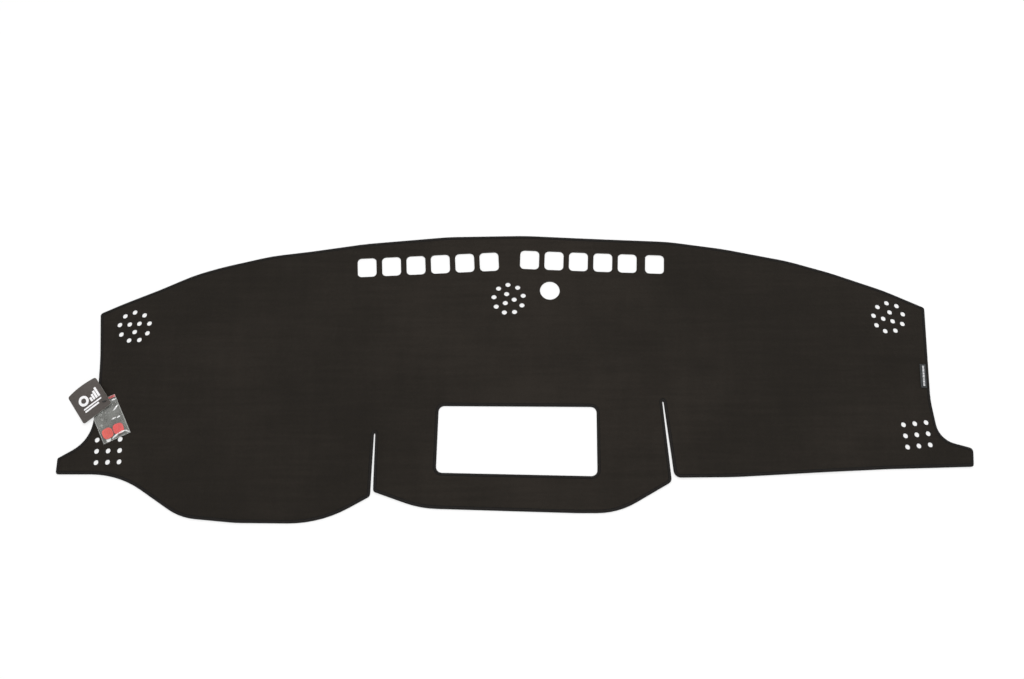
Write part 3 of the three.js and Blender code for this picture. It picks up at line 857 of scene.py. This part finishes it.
class MAT_OT_bag(bpy.types.Operator):
    """Fill the clear bag with its fixing pads"""
    bl_idname = "mat.bag"
    bl_label = "Bag of fixing pads"

    def execute(self, context):
        settings = context.scene.mat_bag
        place, size = seat("pad_bag")
        floor = -size.z / 2
        film = self.shell(size, floor, settings)
        bmesh.ops.transform(film, matrix=place, verts=film.verts)
        finished(film, "pad_bag_film", [film_finish(settings)], ["pad_bag"])
        self.trim(place, size, floor, settings)
        for side in ("left", "right"):
            liner_colour = settings.liner_left if side == "left" else settings.liner_right
            pad = merged(f"fixing_pad_{side}")
            bevelled(pad, sharp_edges(pad, 60), 0.3 * MM)
            hook = plain_finish(f"hook tape {side}", settings.hook, 0.85, grain=1300, contrast=0.5,
                                specular=0.3, depth=0.4 * MM)
            settled(finished(pad, f"hook_pad_{side}", [hook], [f"fixing_pad_{side}"]))
            liner = merged(f"pad_liner_{side}")
            bevelled(liner, sharp_edges(liner, 60), 0.15 * MM)
            red = plain_finish(f"red liner {side}", liner_colour, 0.35, grain=90, contrast=0.22,
                               depth=0.2 * MM)
            settled(finished(liner, f"release_liner_{side}", [red],
                             [f"pad_liner_{side}"]))
        return {"FINISHED"}

    @staticmethod
    def cover(size, x, y, crease):
        """Height of the upper film over the bag's floor"""
        from_side = np.minimum(size.x / 2 - np.abs(x), size.y / 2 - np.abs(y))
        filled = 1 - smoothstep(*PADS_TO, y)
        swell = EMPTY_SWELL + filled * PAD_SWELL
        edge = smoothstep(0, SEAL_REACH, from_side)
        spot = Vector((x * FOLDS[0], y * FOLDS[1], 3.1))
        folds = abs(noise.noise(spot)) + 0.5 * abs(noise.noise(spot * 2.3))
        return SEAL_HEIGHT + edge * (swell + crease * folds * (1 - 0.45 * filled))

    @staticmethod
    def creases_and_glints(size, x, y):
        """How sharp the film's creases are at a place in the bag's own frame, from 0 to 1; along
        the listed creases this also sets where glints are painted
        """
        from_side = min(size.x / 2 - abs(x), size.y / 2 - abs(y))
        sharpest = SEALED_CREASE * (1 - float(smoothstep(0.5 * MM, 1.7 * MM, from_side)))
        for start, end in CREASE_RIDGES_AND_GLINTS:
            start = Vector(start) * MM
            run = Vector(end) * MM - start
            here = Vector((x, y)) - start
            along = min(max(here.dot(run) / run.length_squared, 0), 1)
            taper = math.sin(math.pi * (0.1 + 0.8 * along))
            away = (here - run * along).length / taper
            sharpest = max(sharpest, 1 - float(smoothstep(CREASE_CORE, CREASE_REACH, away)))
        return sharpest

    def shell(self, size, floor, settings):
        """The closed bag: its upper film over its flat floor"""
        bm = bmesh.new()
        crease = bm.verts.layers.float.new(CREASE_AND_GLINT)
        bmesh.ops.create_grid(bm, x_segments=88, y_segments=136, size=0.5)
        bmesh.ops.scale(bm, vec=(size.x, size.y, 1), verts=bm.verts)
        bmesh.ops.solidify(bm, geom=bm.faces[:], thickness=1 * MM)
        middle = sum(v.co.z for v in bm.verts) / len(bm.verts)
        for vert in bm.verts:
            x, y = vert.co.x, vert.co.y
            if vert.co.z > middle:
                vert[crease] = self.creases_and_glints(size, x, y)
                vert.co.z = floor + float(self.cover(size, x, y, settings.crease)) \
                    + settings.ridge * vert[crease]
            else:
                vert.co.z = floor
        bmesh.ops.recalc_face_normals(bm, faces=bm.faces)
        return bm

    def trim(self, place, size, floor, settings):
        """The header band above the zip, and the zip's two ribs"""
        band = bmesh.new()
        bmesh.ops.create_grid(band, x_segments=40, y_segments=4, size=0.5)
        bmesh.ops.scale(band, vec=(size.x - HEADER_INSET, HEADER_WIDTH, 1), verts=band.verts)
        bmesh.ops.translate(band, vec=(0, size.y / 2 - HEADER_BELOW, 0), verts=band.verts)
        bmesh.ops.solidify(band, geom=band.faces[:], thickness=-HEADER_THICKNESS)
        for vert in band.verts:
            cover = float(self.cover(size, vert.co.x, vert.co.y, settings.crease))
            vert.co.z += floor + cover + HEADER_LIFT
        bmesh.ops.transform(band, matrix=place, verts=band.verts)
        red = plain_finish("header band", settings.band, 0.35, grain=300, contrast=0.25)
        finished(band, "bag_header_band", [red])
        ribs = bmesh.new()
        for below in ZIP_RIBS:
            rib = bmesh.ops.create_cone(ribs, cap_ends=True, segments=8, radius1=RIB_RADIUS,
                                        radius2=RIB_RADIUS, depth=size.x - RIB_INSET)["verts"]
            bmesh.ops.rotate(ribs, cent=(0, 0, 0), matrix=Matrix.Rotation(math.pi / 2, 3, "Y"),
                             verts=rib)
            bmesh.ops.translate(ribs, vec=(0, size.y / 2 - below, floor + RIB_HEIGHT), verts=rib)
        bmesh.ops.transform(ribs, matrix=place, verts=ribs.verts)
        film = plain_finish("zip rib", RIB_COLOUR, 0.25, grain=600, contrast=0.1)
        film.node_tree.nodes["Principled BSDF"].inputs["Alpha"].default_value = RIB_ALPHA
        finished(ribs, "bag_zip_ribs", [film])


# Stage

# Place and width of each light, in metres; both face the middle of the mat
OVERHEAD_LIGHT = ((0.1, 0.35, 2.4), 1.4)
FRONT_LIGHT = ((-0.6, -2.4, 1.6), 1.8)
FLOOR_REACH = 40            # from the middle to each side, in metres


class MAT_OT_stage(bpy.types.Operator):
    """Set the floor, the soft lights and the camera"""
    bl_idname = "mat.stage"
    bl_label = "Stage"

    def execute(self, context):
        settings = context.scene.mat_stage
        self.floor(settings)
        self.sky(context.scene, settings)
        self.soft_light("overhead light", *OVERHEAD_LIGHT, settings.key)
        self.soft_light("front light", *FRONT_LIGHT, settings.front)
        self.camera(context.scene, settings)
        context.scene.view_settings.view_transform = "Standard"
        return {"FINISHED"}

    @staticmethod
    def floor(settings):
        bm = bmesh.new()
        bmesh.ops.create_grid(bm, x_segments=1, y_segments=1, size=FLOOR_REACH)
        mesh = bpy.data.meshes.new("floor")
        bm.to_mesh(mesh)
        bm.free()
        floor = bpy.data.objects.new("floor", mesh)
        bpy.context.scene.collection.objects.link(floor)
        mesh.materials.append(floor_finish(settings))

    @staticmethod
    def sky(scene, settings):
        """Even fill light that shows as white behind the mat and in its gloss"""
        world = bpy.data.worlds.new("studio")
        scene.world = world
        world.use_nodes = True
        tree = world.node_tree
        tree.nodes.clear()
        mix = tree.nodes.new("ShaderNodeMixShader")
        tree.links.new(seen_directly(tree), mix.inputs[0])
        for i, strength in enumerate((settings.fill, 1.0)):
            background = tree.nodes.new("ShaderNodeBackground")
            background.inputs["Color"].default_value = (1, 1, 1, 1)
            background.inputs["Strength"].default_value = strength
            tree.links.new(background.outputs[0], mix.inputs[1 + i])
        output = tree.nodes.new("ShaderNodeOutputWorld")
        tree.links.new(mix.outputs[0], output.inputs["Surface"])

    @staticmethod
    def soft_light(name, place, size, power):
        light = bpy.data.lights.new(name, "AREA")
        light.size = size
        light.energy = power
        lamp = bpy.data.objects.new(name, light)
        lamp.location = place
        lamp.rotation_euler = (-Vector(place)).to_track_quat("-Z", "Y").to_euler()
        bpy.context.scene.collection.objects.link(lamp)

    @staticmethod
    def camera(scene, settings):
        camera = bpy.data.cameras.new("camera")
        camera.lens = settings.camera_lens
        view = bpy.data.objects.new("camera", camera)
        view.location = (settings.camera_side, -settings.camera_back, settings.camera_height)
        view.rotation_euler = (settings.camera_tilt, 0, 0)
        scene.collection.objects.link(view)
        scene.camera = view


class MAT_PT_sidebar(bpy.types.Panel):
    """Lists the mat's pieces and their settings"""
    bl_label = "Cover Mat"
    bl_idname = "MAT_PT_sidebar"
    bl_space_type = "VIEW_3D"
    bl_region_type = "UI"
    bl_category = "Cover Mat"

    def draw(self, context):
        for group, _, operator in PARTS:
            box = self.layout.box()
            settings = getattr(context.scene, group)
            for name in settings.__annotations__:
                box.prop(settings, name)
            if operator:
                box.operator(operator)


# Settings group on the scene, its class, and the operator that reads it
PARTS = (
    ("mat_lie", LieSettings, None),
    ("mat_thread", ThreadSettings, "mat.overlock"),
    ("mat_pile", PileSettings, "mat.panel"),
    ("mat_label", LabelSettings, "mat.label"),
    ("mat_tag", TagSettings, "mat.tag"),
    ("mat_bag", BagSettings, "mat.bag"),
    ("mat_stage", StageSettings, "mat.stage"),
)
OPERATORS = (MAT_OT_overlock, MAT_OT_panel, MAT_OT_label, MAT_OT_tag, MAT_OT_bag, MAT_OT_stage)


def register():
    for group, settings, _ in PARTS:
        bpy.utils.register_class(settings)
        setattr(bpy.types.Scene, group, PointerProperty(type=settings))
    for operator in OPERATORS:
        bpy.utils.register_class(operator)
    bpy.utils.register_class(MAT_PT_sidebar)


def unregister():
    bpy.utils.unregister_class(MAT_PT_sidebar)
    for operator in reversed(OPERATORS):
        bpy.utils.unregister_class(operator)
    for group, settings, _ in reversed(PARTS):
        delattr(bpy.types.Scene, group)
        bpy.utils.unregister_class(settings)


def main():
    register()
    bpy.ops.mat.stage()
    bpy.ops.mat.overlock()
    bpy.ops.mat.panel()
    bpy.ops.mat.label()
    bpy.ops.mat.tag()
    bpy.ops.mat.bag()


if __name__ == "__main__":
    main()
